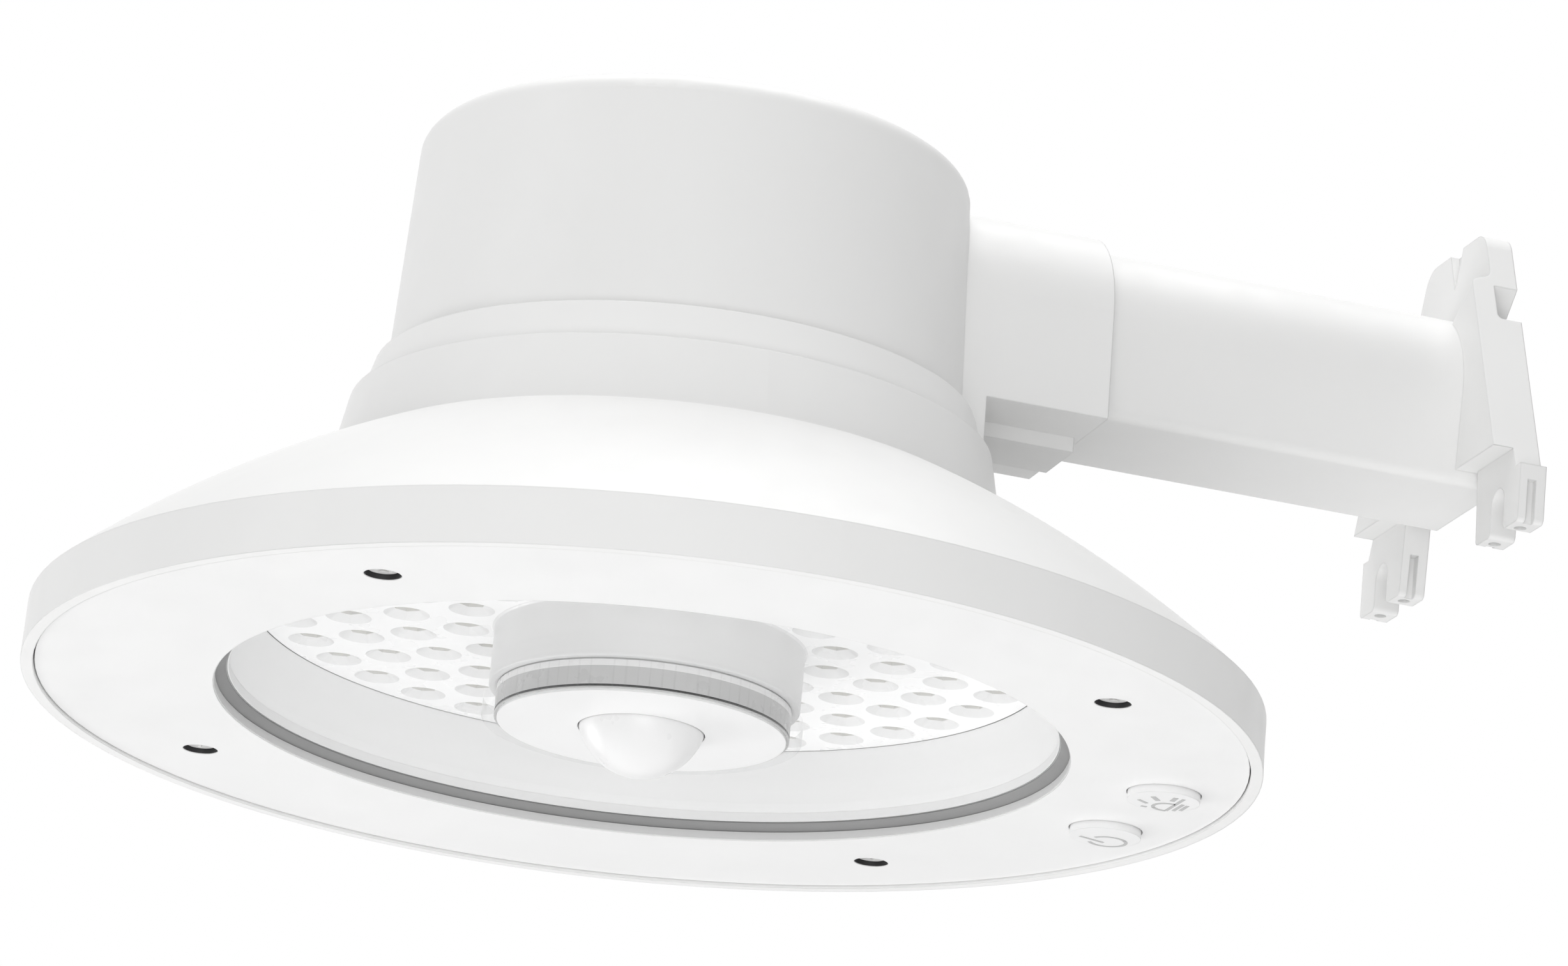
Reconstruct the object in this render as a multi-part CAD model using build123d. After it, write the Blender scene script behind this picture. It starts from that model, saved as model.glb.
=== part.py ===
from build123d import *
import math
import os

# Solar security light: a round lamp head under a solar panel, on a short arm that hangs on a wall bracket.
# Millimetres, +Z up, the wall on the +Y side. Everything is modelled about the lamp's axis, with the
# rim's lower edge at Z = 0, and moved at the end so that the origin is the middle of the row of
# screw holes in the flange's legs.

# Fits that many pieces share
slip_gap = 0.3
screw_gap = 0.1

# Head shell, from the rim up to the hub
rim_radius = 130.0
shell_wall = 2.6
band_height = 11.7
band_draft = 0.2
dome_top_radius = 71.2
dome_top_height = 49.8
dome_bulge = 2.3
lower_tier_height = 14.5
lower_tier_draft = 2.9
upper_tier_step = 2.0
upper_tier_height = 8.5
upper_tier_draft = 2.4
hub_step = 2.7
hub_height = 52.6
hub_draft_angle = 2.6
hub_edge_radius = 4.3

# Solar panel in the top of the hub
panel_radius = 52.2
panel_recess = 0.6
panel_cover_thickness = 2.0
cell_thickness = 0.3
cell_margin = 2.4
cell_rows = 6
cell_gap = 1.2
panel_board_thickness = 1.6
panel_seal_thickness = 0.5
panel_seal_width = 6.0
panel_wire_radius = 2.5

# Front cover and its screws
cover_inset = 0.7
cover_thickness = 2.0
cover_width = 40.1
cover_screw_inset = 21.6
cover_screw_azimuths = (45, 135, 225, 315)
cover_well_radius = 3.8
cover_well_depth = 3.5
cover_well_floor = 2.5
cover_well_wall = 1.6
cover_head_radius = 3.4
cover_head_height = 2.2
cover_shank_radius = 1.5
cover_screw_length = 12.0

# Lens, its seal and the ring that carries the lamp's optics
seal_thickness = 1.7
seal_bevel = 2.9
lens_overlap = 3.6
lens_thickness = 2.0
lens_rim_wall = 2.0
lens_rim_height = 4.3
reflector_inset = 5.9
reflector_height = 19.5
ring_foot_height = 2.0
ring_wall = 1.6
ring_flange_inset = 29.0
ring_flange_thickness = 2.0
ring_ledge = 2.3

# Cups, light sources and their board
cup_depth = 5.0
cup_mouth_radius = 4.9
cup_floor_radius = 3.0
cup_sides = 8
cup_ring_counts = (16, 22, 28, 34)
cup_turn_angles = (0.0, 3.7, 6.4, -2.75)
cup_edge_margin = 8.0
cup_sleeve_margin = 6.3
led_side = 2.8
led_thickness = 0.8
led_board_thickness = 1.6
carrier_screw_inset = 33.0
carrier_boss_radius = 3.8
carrier_head_radius = 2.9
carrier_head_height = 1.9
carrier_shank_radius = 1.4
carrier_screw_length = 8.5

# Movement sensor in the middle
sensor_radius = 30.4
sensor_proud = 0.2
sensor_wall = 2.0
sensor_seal_thickness = 0.6
sensor_seal_inset = 0.3
collar_wall = 2.6
sensor_boss_wall = 2.0
sensor_post_circle = 25.2
sensor_post_radius = 2.6
sensor_screw_radius = 1.3
sensor_screw_head_radius = 2.6
sensor_screw_head_height = 1.7
sensor_screw_length = 9.0
sensor_wire_radius = 20.0
eye_radius = 13.1
eye_height = 9.9
eye_wall = 1.0
eye_flange_width = 2.0
eye_flange_thickness = 1.2
pyro_radius = 4.6
pyro_height = 4.2
sensor_board_height = 5.7
sensor_board_radius = 21.0
sensor_board_thickness = 1.4
sensor_stake_circle = 17.5
sensor_stake_radius = 2.2
sensor_pin_radius = 1.0

# Push buttons and their switches
button_radius = 7.7
button_proud = 1.65
button_spacing = 35.4
button_row_inset = 19.8
button_travel = 0.8
button_flange_width = 1.6
button_flange_thickness = 1.2
button_stem_radius = 2.2
button_stem_length = 1.4
button_seal_width = 1.8
button_seal_height = 2.0
plunger_radius = 1.75
plunger_proud = 1.2
plunger_depth = 1.9
plunger_clearance = 0.05
switch_side = 6.2
switch_height = 3.5
switch_board_length = 52.0
switch_board_width = 16.0
switch_board_thickness = 1.6
switch_post_radius = 2.6
switch_post_spacing = 10.6
switch_head_radius = 2.3
switch_head_height = 1.6
switch_shank_radius = 1.1
switch_screw_length = 7.0

# Arm, its socket on the hub and its screws
arm_arch_radius = 20.0
arm_arch_height = 102.4
arm_side_draft = 4.5
arm_bottom_height = 80.7
arm_inner_y = 63.0
arm_wall = 2.6
arm_corner_radius = 2.6
socket_arch_radius = 23.3
socket_arch_height = 101.8
socket_side_draft = 3.4
socket_clearance = 5.3
socket_end_y = 88.7
socket_root_y = 61.3
socket_rib_width = 17.0
socket_rib_depth = 3.3
socket_rib_start_y = 65.9
socket_rib_end_y = 87.0
arm_screw_places = ((-9.0, 91.0), (9.0, 91.0), (0.0, 112.0))
arm_boss_radius = 3.6
arm_boss_length = 8.0
arm_head_radius = 3.2
arm_head_height = 2.2
arm_shank_radius = 1.5
arm_screw_seat = 4.0

# Flange on the wall end of the arm
wall_y = 181.5
flange_front_y = 170.9
plate_thickness = 6.0
flange_bottom_height = 83.5
ledge_outer_height = 126.7
ledge_slope = 0.672
ledge_rise_angle = 25.0
ledge_radius = 2.4
flange_side_x = 41.1
flange_side_height = 79.1
flange_side_slope = 0.4213
ear_top_height = 139.9
ear_corner_radius = 6.0
valley_half_width = 3.5
valley_bottom_height = 131.0
valley_depth = 2.0
leg_bottom_height = 66.15
leg_outer_x = 44.0
leg_inner_x = 21.4
leg_root_x = 20.0
leg_slot_x = 32.5
leg_slot_radius = 3.5
leg_slot_top_height = 76.2
leg_corner_radius = 1.2
leg_hole_radius = 1.3
leg_hole_depth = 10.0
leg_hole_setback = 3.15
leg_hole_spacings = (77.8, 50.4)
leg_groove_width = 1.9
leg_groove_depth = 1.6
leg_groove_height = 9.5
notch_floor_height = 117.3
notch_ceiling_height = 125.8
notch_depth = 5.5
notch_corner_radius = 1.2

# Battery, its cradle and the main board in the hub
cell_radius = 9.2
cell_length = 65.0
cell_count = 3
cell_spacing = 19.0
cradle_floor = 2.0
cradle_end = 2.0
cradle_ear_width = 16.0
cradle_ear_thickness = 2.0
cradle_screw_x = 34.5
cradle_boss_radius = 3.6
strap_width = 12.0
strap_thickness = 1.0
cradle_head_radius = 2.9
cradle_head_height = 1.9
cradle_shank_radius = 1.4
cradle_screw_length = 9.0
board_post_inset = 3.7
board_post_radius = 3.0
board_drop = 31.0
main_board_thickness = 1.6
main_board_margin = 4.5
board_head_radius = 2.6
board_head_height = 1.7
board_shank_radius = 1.2
board_screw_length = 8.0
chip_size = (12.0, 9.0, 1.8)
chip_places = ((-14.0, 12.0), (12.0, 16.0))
capacitor_radius = 4.0
capacitor_height = 11.0
capacitor_places = ((-24.0, -16.0), (-12.0, -20.0))
coil_radius = 6.5
coil_height = 6.0
coil_place = (14.0, -12.0)
plug_size = (9.0, 6.0, 7.0)
plug_edge_distance = 7.0
plug_places = (-14.0, 0.0, 14.0)

# Sizes that follow from the ones above
cover_opening_radius = rim_radius - cover_width
cover_screw_circle = rim_radius - cover_screw_inset
carrier_screw_circle = rim_radius - carrier_screw_inset
button_row_y = rim_radius - button_row_inset
lens_radius = cover_opening_radius + lens_overlap
reflector_radius = cover_opening_radius - reflector_inset
ring_flange_radius = rim_radius - ring_flange_inset
lower_tier_top = dome_top_height + lower_tier_height
upper_tier_top = lower_tier_top + upper_tier_height
hub_top = upper_tier_top + hub_height
socket_bottom_height = upper_tier_top + socket_clearance
lower_tier_radius = dome_top_radius - lower_tier_draft
upper_tier_radius = lower_tier_radius - upper_tier_step
hub_radius = upper_tier_radius - upper_tier_draft - hub_step
hub_slope = math.tan(math.radians(hub_draft_angle))
panel_stack = panel_cover_thickness + cell_thickness + panel_board_thickness + panel_seal_thickness
roof_top = hub_top - panel_recess - panel_stack
roof_bottom = roof_top - shell_wall
cover_top = cover_inset + cover_thickness
seal_top = cover_top + seal_thickness
lens_top = seal_top + lens_thickness
board_bottom = reflector_height + cup_depth
board_top = board_bottom + led_board_thickness
well_floor_height = cover_inset + cover_well_depth
boss_bottom = well_floor_height + cover_well_floor
button_bottom = cover_inset - button_proud
button_flange_top = cover_top + button_flange_thickness
switch_bottom = button_flange_top + button_stem_length + plunger_proud
switch_board_bottom = switch_bottom + switch_height
sensor_bottom = -sensor_proud
sensor_floor = sensor_bottom + sensor_wall
seal_bore = sensor_radius + sensor_seal_thickness
plate_front_y = wall_y - plate_thickness
leg_middle_y = wall_y - leg_hole_setback


def rod(radius, x, y, bottom, top):
    """Upright round bar."""
    return Pos(x, y, bottom) * extrude(Circle(radius), amount=top - bottom)


def rod_along_y(radius, x, z, start, end):
    """Round bar that lies along Y."""
    return Pos(x, start, z) * Rot(-90, 0, 0) * extrude(Circle(radius), amount=end - start)


def ring(outer, inner, bottom, top):
    """Flat-ended tube about the lamp's axis."""
    return Pos(0, 0, bottom) * extrude(Circle(outer) - Circle(inner), amount=top - bottom)


def block(x_range, y_range, z_range):
    """Box between two limits each way."""
    sizes = [high - low for low, high in (x_range, y_range, z_range)]
    middles = [(high + low) / 2 for low, high in (x_range, y_range, z_range)]
    return Pos(*middles) * Box(*sizes)


def turned(*points):
    """Solid of revolution of a closed outline given as radius and height."""
    outline = Polyline(*[(radius, 0, height) for radius, height in points], close=True)
    return revolve(make_face(outline), Axis.Z)


def around(circle, azimuths):
    """Places on a circle about the lamp's axis."""
    angles = [math.radians(azimuth) for azimuth in azimuths]
    return [(circle * math.cos(angle), circle * math.sin(angle)) for angle in angles]


def screw(x, y, seat, length, shank_radius, head_radius, head_height, up=True, pan=False):
    """Screw whose head, pan or hexagon, sits against the seat and whose shank runs up, or down."""
    sign = 1 if up else -1
    shank = rod(shank_radius, x, y, min(seat, seat + sign * length), max(seat, seat + sign * length))
    base = min(seat, seat - sign * head_height)
    outline = Circle(head_radius) if pan else RegularPolygon(head_radius, 6)
    return shank + Pos(x, y, base) * extrude(outline, amount=head_height)


def group(pieces):
    """Separate solids kept in one node."""
    return Compound(children=[piece for piece in pieces])


# The dome is one shallow arc in section
dome_start = (rim_radius - band_draft, band_height)
dome_end = (dome_top_radius, dome_top_height)
dome_chord = math.dist(dome_start, dome_end)
dome_arc_radius = (dome_chord ** 2 / 4 + dome_bulge ** 2) / (2 * dome_bulge)
dome_normal = (
    (dome_end[1] - dome_start[1]) / dome_chord,
    (dome_start[0] - dome_end[0]) / dome_chord,
)
dome_centre = tuple(
    (dome_start[i] + dome_end[i]) / 2 - (dome_arc_radius - dome_bulge) * dome_normal[i] for i in (0, 1)
)


def dome_height(radius, depth=0.0):
    """Height of the dome's surface, or of one that lies depth inside it, at a radius."""
    reach = dome_arc_radius - depth
    return dome_centre[1] + math.sqrt(reach ** 2 - (radius - dome_centre[0]) ** 2)


def dome_arc(start_radius, end_radius, depth=0.0):
    """Arc of the dome between two radii."""
    middle = (start_radius + end_radius) / 2
    points = [(radius, 0, dome_height(radius, depth)) for radius in (start_radius, middle, end_radius)]
    return ThreePointArc(*points)


def hub_radius_at(height):
    """Outer radius of the drafted hub."""
    return hub_radius - (height - upper_tier_top) * hub_slope


def head_outside():
    """Everything inside the outer faces of the rim, dome, two tiers and hub."""
    arc = dome_arc(rim_radius - band_draft, dome_top_radius)
    steps = Polyline(
        (dome_top_radius, 0, dome_height(dome_top_radius)),
        (lower_tier_radius, 0, lower_tier_top),
        (upper_tier_radius, 0, lower_tier_top),
        (upper_tier_radius - upper_tier_draft, 0, upper_tier_top),
        (hub_radius, 0, upper_tier_top),
        (hub_radius_at(hub_top), 0, hub_top),
        (0, 0, hub_top),
        (0, 0, 0),
        (rim_radius, 0, 0),
        (rim_radius - band_draft, 0, dome_height(rim_radius - band_draft)),
    )
    solid = revolve(make_face([arc, *steps.edges()]), Axis.Z)
    top_edge = solid.edges().filter_by(GeomType.CIRCLE).sort_by(Axis.Z)[-1]
    return fillet(top_edge, hub_edge_radius)


def head_inside():
    """The hollow of the head, one wall or more in from the outside, open at the bottom."""
    mouth = rim_radius - shell_wall
    lower = dome_top_radius - shell_wall
    middle = (mouth + lower) / 2
    bore = hub_radius_at(roof_bottom) - shell_wall
    return turned(
        (mouth, -shell_wall),
        (mouth, dome_height(mouth, shell_wall)),
        (middle, dome_height(middle, shell_wall)),
        (lower, dome_height(lower, shell_wall)),
        (bore, upper_tier_top - shell_wall),
        (bore, roof_bottom),
        (0, roof_bottom),
        (0, -shell_wall),
    )


def arch_face(radius, centre_height, draft_angle, bottom, corner=0):
    """Arch section in X and Z: a round top, sides that lean out downwards by an angle, a flat bottom."""
    angle = math.radians(draft_angle)
    side_x = radius * math.cos(angle)
    side_z = centre_height + radius * math.sin(angle)
    foot_x = side_x + (side_z - bottom) * math.tan(angle)
    outline = [
        Line((side_x, side_z), (foot_x, bottom)),
        Line((foot_x, bottom), (-foot_x, bottom)),
        Line((-foot_x, bottom), (-side_x, side_z)),
        ThreePointArc((-side_x, side_z), (0, centre_height + radius), (side_x, side_z)),
    ]
    face = make_face(outline)
    if corner:
        face = fillet(face.vertices().sort_by(Axis.Y)[:2], corner)
    return face


def in_wall_plane(y):
    """Plane square to Y whose second axis is Z."""
    return Plane((0, y, 0), x_dir=(1, 0, 0), z_dir=(0, -1, 0))


def extrude_back(face, start, end):
    """Solid of a face drawn in X and Z, from one Y to a greater one."""
    return extrude(in_wall_plane(end) * face, amount=end - start)


def arm_form(start, end, growth):
    """The arm's shape between two places, grown or shrunk all round."""
    face = arch_face(
        arm_arch_radius + growth,
        arm_arch_height,
        -arm_side_draft,
        arm_bottom_height - growth,
        max(arm_corner_radius + growth, slip_gap),
    )
    return extrude_back(face, start, end)


def socket_form(start, bottom, end):
    """Outside of the arm's socket on the hub, down to a height."""
    face = arch_face(socket_arch_radius, socket_arch_height, socket_side_draft, bottom)
    return extrude_back(face, start, end)


def make_housing():
    """Rim, dome, tiers, hub and arm socket in one moulding, with its screw bosses inside."""
    outside = head_outside()
    outside += socket_form(hub_radius - socket_arch_radius, socket_bottom_height, socket_end_y)
    outside += socket_form(hub_radius - socket_arch_radius, lower_tier_top, socket_root_y)
    outside += block(
        (-socket_rib_width / 2, socket_rib_width / 2),
        (socket_rib_start_y, socket_rib_end_y),
        (socket_bottom_height - socket_rib_depth, socket_bottom_height + arm_wall / 2),
    )
    hollow = head_inside()
    bosses = [
        rod(cover_well_radius + cover_well_wall, x, y, boss_bottom, dome_top_height)
        for x, y in around(cover_screw_circle, cover_screw_azimuths)
    ]
    bosses += [
        rod(carrier_boss_radius, x, y, board_top, dome_top_height) for x, y in carrier_places()
    ]
    bosses += [
        rod(board_post_radius, x, y, roof_bottom - board_drop, roof_top) for x, y in board_posts()
    ]
    bosses += [
        rod(cradle_boss_radius, side * cradle_screw_x, 0, cradle_ear_top, roof_top) for side in (-1, 1)
    ]
    hollow -= bosses
    body = outside - hollow
    body -= rod(panel_radius + slip_gap, 0, 0, roof_top, hub_top + panel_recess)
    body -= rod(panel_wire_radius, 0, 0, roof_bottom - shell_wall, roof_top + panel_recess)
    body -= arm_form(arm_inner_y, socket_end_y + shell_wall, slip_gap)
    holes = [
        rod(cover_shank_radius + screw_gap, x, y, 0, well_floor_height + cover_screw_length + slip_gap)
        for x, y in around(cover_screw_circle, cover_screw_azimuths)
    ]
    holes += [
        rod(carrier_shank_radius + screw_gap, x, y, board_bottom, carrier_tip + slip_gap)
        for x, y in carrier_places()
    ]
    holes += [
        rod(
            board_shank_radius + screw_gap,
            x,
            y,
            main_board_bottom,
            main_board_bottom + board_screw_length + slip_gap,
        )
        for x, y in board_posts()
    ]
    holes += [
        rod(
            cradle_shank_radius + screw_gap,
            side * cradle_screw_x,
            0,
            cradle_seat,
            cradle_seat + cradle_screw_length + slip_gap,
        )
        for side in (-1, 1)
    ]
    for x, z in arm_screw_places:
        holes.append(rod_along_y(arm_shank_radius + screw_gap, x, z, hub_radius / 2, arm_inner_y))
        holes.append(rod_along_y(arm_head_radius + slip_gap, x, z, hub_radius / 2, arm_seat_y))
    return body - holes


def carrier_places():
    """Places of the four screws that hold the lamp's optics, between the cover screws."""
    return around(carrier_screw_circle, [azimuth + 45 for azimuth in cover_screw_azimuths])


def board_posts():
    """Places of the main board's four posts."""
    half = board_post_half
    return [(x, y) for x in (-half, half) for y in (-half, half)]


# Places in the hub that several pieces share
cell_axis_height = roof_bottom - cradle_floor - cell_radius - slip_gap
cradle_ear_top = cell_axis_height + cradle_ear_thickness
cradle_seat = cell_axis_height - strap_thickness
main_board_top = roof_bottom - board_drop
main_board_bottom = main_board_top - main_board_thickness
main_board_radius = hub_radius_at(main_board_top) - 2 * shell_wall
board_post_half = (main_board_radius - board_post_inset) / math.sqrt(2)
main_board_half = board_post_half + main_board_margin
carrier_seat = board_bottom - ring_flange_thickness
carrier_tip = carrier_seat + carrier_screw_length
arm_seat_y = arm_inner_y - arm_screw_seat


def make_solar_cover():
    """Clear disc over the cells."""
    top = hub_top - panel_recess
    return rod(panel_radius, 0, 0, top - panel_cover_thickness, top)


def make_solar_cells():
    """Rows of cut cells, trimmed to the round panel."""
    reach = panel_radius - cell_margin
    bottom = roof_top + panel_seal_thickness + panel_board_thickness
    pitch = (2 * reach + cell_gap) / cell_rows
    strips = []
    for row in range(cell_rows):
        low = -reach + row * pitch
        for side in (-1, 1):
            near, far = cell_gap / 2, reach
            span = (near, far) if side > 0 else (-far, -near)
            strips.append(block(span, (low, low + pitch - cell_gap), (bottom, bottom + cell_thickness)))
    disc = rod(reach, 0, 0, bottom, bottom + cell_thickness)
    return group([(strip & disc).solids()[0] for strip in strips])


def make_solar_board():
    """Board that carries the cells."""
    bottom = roof_top + panel_seal_thickness
    return rod(panel_radius, 0, 0, bottom, bottom + panel_board_thickness)


def make_panel_seal():
    """Seal under the edge of the panel."""
    return ring(panel_radius, panel_radius - panel_seal_width, roof_top, roof_top + panel_seal_thickness)


def make_front_cover():
    """Annular cover with the screw wells, the button holes and the rim that centres the lens."""
    outer = rim_radius - shell_wall - slip_gap
    plate = ring(outer, cover_opening_radius, cover_inset, cover_top)
    rim_inner = lens_radius + slip_gap
    plate += ring(rim_inner + lens_rim_wall, rim_inner, cover_inset, cover_top + lens_rim_height)
    wells = around(cover_screw_circle, cover_screw_azimuths)
    plate += [rod(cover_well_radius + cover_well_wall, x, y, cover_inset, boss_bottom) for x, y in wells]
    plate += [
        rod(switch_post_radius, 0, y, cover_inset, switch_board_bottom) for y in switch_post_places()
    ]
    plate -= [rod(cover_well_radius, x, y, 0, well_floor_height) for x, y in wells]
    plate -= [rod(cover_shank_radius + screw_gap, x, y, 0, boss_bottom) for x, y in wells]
    plate -= [rod(button_radius + slip_gap, x, button_row_y, 0, cover_top) for x in button_places()]
    plate -= [
        rod(switch_shank_radius + screw_gap, 0, y, switch_tip - slip_gap, switch_board_bottom)
        for y in switch_post_places()
    ]
    return plate


def button_places():
    """X of the mode button and of the power button."""
    return (button_spacing / 2, -button_spacing / 2)


def switch_post_places():
    """Y of the two posts that hold the switch board."""
    return (button_row_y - switch_post_spacing / 2, button_row_y + switch_post_spacing / 2)


switch_board_top = switch_board_bottom + switch_board_thickness
switch_tip = switch_board_top - switch_screw_length


def make_front_screws():
    """Four screws up into the shell's bosses."""
    return group(
        screw(
            x,
            y,
            well_floor_height,
            cover_screw_length,
            cover_shank_radius,
            cover_head_radius,
            cover_head_height,
            pan=True,
        )
        for x, y in around(cover_screw_circle, cover_screw_azimuths)
    )


def make_lens():
    """Clear disc with a sleeve that hangs round the sensor."""
    disc = ring(lens_radius, seal_bore, seal_top, lens_top)
    return disc + ring(seal_bore + collar_wall, seal_bore, 0, lens_top)


def make_lens_seal():
    """Black ring between cover and lens, bevelled towards the opening."""
    return turned(
        (cover_opening_radius, cover_top),
        (lens_radius, cover_top),
        (lens_radius, seal_top),
        (cover_opening_radius - seal_bevel, seal_top),
    )


def make_optics_ring():
    """Ring that clamps the lens, forms the grey wall round the cups and carries cups and board."""
    foot = cover_opening_radius - seal_bevel
    outer = reflector_radius + ring_ledge + ring_wall
    return turned(
        (foot, lens_top),
        (lens_radius, lens_top),
        (lens_radius, lens_top + ring_foot_height),
        (outer, lens_top + ring_foot_height),
        (outer, carrier_seat),
        (ring_flange_radius, carrier_seat),
        (ring_flange_radius, board_bottom),
        (reflector_radius + ring_ledge, board_bottom),
        (reflector_radius + ring_ledge, reflector_height),
        (reflector_radius, reflector_height),
    ) - [
        rod(carrier_shank_radius + screw_gap, x, y, carrier_seat, board_bottom)
        for x, y in carrier_places()
    ]


def cup_places():
    """Place and azimuth of each cup, ring by ring, counted from the arm's direction."""
    places = []
    inner = sensor_radius + slip_gap + sensor_boss_wall + cup_sleeve_margin
    step = (reflector_radius - cup_edge_margin - inner) / (len(cup_ring_counts) - 1)
    for row, (count, turn) in enumerate(zip(cup_ring_counts, cup_turn_angles)):
        radius = inner + row * step
        for index in range(count):
            azimuth = 90 + turn + 360 * index / count
            x, y = around(radius, [azimuth])[0]
            places.append((x, y, azimuth))
    return places


def make_reflector():
    """Plate of tapered cups, with a sleeve in the middle for the sensor."""
    outer = reflector_radius + ring_ledge - slip_gap
    sleeve = sensor_radius + slip_gap + sensor_boss_wall
    plate = rod(outer, 0, 0, reflector_height, board_bottom)
    plate += rod(sleeve, 0, 0, lens_top + slip_gap, board_bottom)
    plate -= rod(sensor_radius + slip_gap, 0, 0, lens_top, board_bottom)
    flat_share = math.cos(math.pi / cup_sides)
    lean = math.degrees(math.atan((cup_mouth_radius - cup_floor_radius) * flat_share / cup_depth))
    cup = extrude(RegularPolygon(cup_mouth_radius, cup_sides), amount=cup_depth, taper=lean)
    cups = [Pos(x, y, reflector_height) * Rot(0, 0, azimuth) * cup for x, y, azimuth in cup_places()]
    return plate - cups


def make_leds():
    """Square light sources, one in each cup."""
    chip = Box(led_side, led_side, led_thickness)
    height = board_bottom - led_thickness / 2
    return group(Pos(x, y, height) * Rot(0, 0, azimuth) * chip for x, y, azimuth in cup_places())


def make_led_board():
    """Metal board behind the cups, held at its edge by the optics ring's screws."""
    board = ring(ring_flange_radius, sensor_wire_radius, board_bottom, board_top)
    board -= [
        rod(carrier_shank_radius + screw_gap, x, y, board_bottom, board_top) for x, y in carrier_places()
    ]
    return board - [
        rod(sensor_screw_radius + screw_gap, x, 0, board_bottom, board_top) for x in sensor_post_places()
    ]


def make_optics_screws():
    """Four screws through ring and board into the shell."""
    return group(
        screw(
            x,
            y,
            carrier_seat,
            carrier_screw_length,
            carrier_shank_radius,
            carrier_head_radius,
            carrier_head_height,
        )
        for x, y in carrier_places()
    )


def sensor_post_places():
    """X of the two posts that hold the sensor housing."""
    return (-sensor_post_circle, sensor_post_circle)


def sensor_stake_places():
    """Y of the two stakes that hold the sensor's board."""
    return (-sensor_stake_circle, sensor_stake_circle)


def make_sensor_housing():
    """Round cup that holds the sensor's eye and board and reaches up to the lamp board."""
    cup = ring(sensor_radius, sensor_radius - sensor_wall, sensor_bottom, board_bottom)
    cup += ring(sensor_radius, eye_radius + slip_gap, sensor_bottom, sensor_floor)
    cup += [rod(sensor_post_radius, x, 0, sensor_floor, board_bottom) for x in sensor_post_places()]
    rest = sensor_floor + sensor_board_height
    tip = rest + sensor_board_thickness + slip_gap
    cup += [rod(sensor_stake_radius, 0, y, sensor_bottom, rest) for y in sensor_stake_places()]
    cup += [rod(sensor_pin_radius, 0, y, sensor_floor, tip) for y in sensor_stake_places()]
    return cup - [
        rod(sensor_screw_radius + screw_gap, x, 0, board_top - sensor_screw_length - slip_gap, board_bottom)
        for x in sensor_post_places()
    ]


def make_sensor_seal():
    """Thin black sleeve between sensor housing and lens."""
    return ring(seal_bore, sensor_radius, sensor_seal_inset, lens_top)


def make_sensor_screws():
    """Two screws from the lamp board down into the sensor housing."""
    return group(
        screw(
            x,
            0,
            board_top,
            sensor_screw_length,
            sensor_screw_radius,
            sensor_screw_head_radius,
            sensor_screw_head_height,
            up=False,
        )
        for x in sensor_post_places()
    )


def eye_ball(inset):
    """Ball whose lower cap is the sensor's eye, or the hollow inside it."""
    radius = (eye_radius**2 + eye_height**2) / (2 * eye_height)
    return Pos(0, 0, sensor_bottom - eye_height + radius) * Sphere(radius - inset)


def make_sensor_eye():
    """Hollow translucent dome with a flange behind the housing's floor."""
    top = sensor_floor + eye_flange_thickness
    drum = rod(eye_radius, 0, 0, sensor_bottom - eye_height, top)
    eye = eye_ball(0) & rod(eye_radius, 0, 0, sensor_bottom - eye_height, sensor_bottom)
    eye += rod(eye_radius, 0, 0, sensor_bottom, top)
    eye += rod(eye_radius + eye_flange_width, 0, 0, sensor_floor, top)
    hollow = eye_ball(eye_wall) & drum
    return eye - (hollow & rod(eye_radius - eye_wall, 0, 0, sensor_bottom - eye_height, top))


def make_sensor_board():
    """Round board on its two stakes."""
    bottom = sensor_floor + sensor_board_height
    board = rod(sensor_board_radius, 0, 0, bottom, bottom + sensor_board_thickness)
    return board - [
        rod(sensor_pin_radius + screw_gap, 0, y, bottom, bottom + sensor_board_thickness)
        for y in sensor_stake_places()
    ]


def make_pyro_sensor():
    """Metal can under the board, facing the eye."""
    top = sensor_floor + sensor_board_height
    return rod(pyro_radius, 0, 0, top - pyro_height, top)


def make_button(x):
    """Push button with the flange that stops it behind the cover and the stem that meets its switch."""
    cap = rod(button_radius, x, button_row_y, button_bottom, cover_top)
    cap += rod(button_radius + button_flange_width, x, button_row_y, cover_top, button_flange_top)
    stem_top = button_flange_top + button_stem_length
    return cap + rod(button_stem_radius, x, button_row_y, button_flange_top, stem_top)


def make_plunger(x):
    """Moving pin of the switch, which the button carries."""
    return rod(
        plunger_radius,
        x,
        button_row_y,
        button_flange_top + button_stem_length,
        switch_bottom + plunger_depth - button_travel,
    )


def make_switch(x):
    """Switch body with the bore that its plunger runs in."""
    half = switch_side / 2
    body = block(
        (x - half, x + half),
        (button_row_y - half, button_row_y + half),
        (switch_bottom, switch_board_bottom),
    )
    bore_top = switch_bottom + plunger_depth + plunger_clearance
    return body - rod(plunger_radius + plunger_clearance, x, button_row_y, switch_bottom, bore_top)


def make_button_seals():
    """Rubber rings round the buttons behind the cover."""
    inner = button_radius + button_flange_width + slip_gap
    return group(
        Pos(x, button_row_y, 0) * ring(inner + button_seal_width, inner, cover_top, cover_top + button_seal_height)
        for x in button_places()
    )


def make_switch_board():
    """Narrow board that carries both switches."""
    half_x, half_y = switch_board_length / 2, switch_board_width / 2
    board = block(
        (-half_x, half_x),
        (button_row_y - half_y, button_row_y + half_y),
        (switch_board_bottom, switch_board_top),
    )
    return board - [
        rod(switch_shank_radius + screw_gap, 0, y, switch_board_bottom, switch_board_top)
        for y in switch_post_places()
    ]


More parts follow.
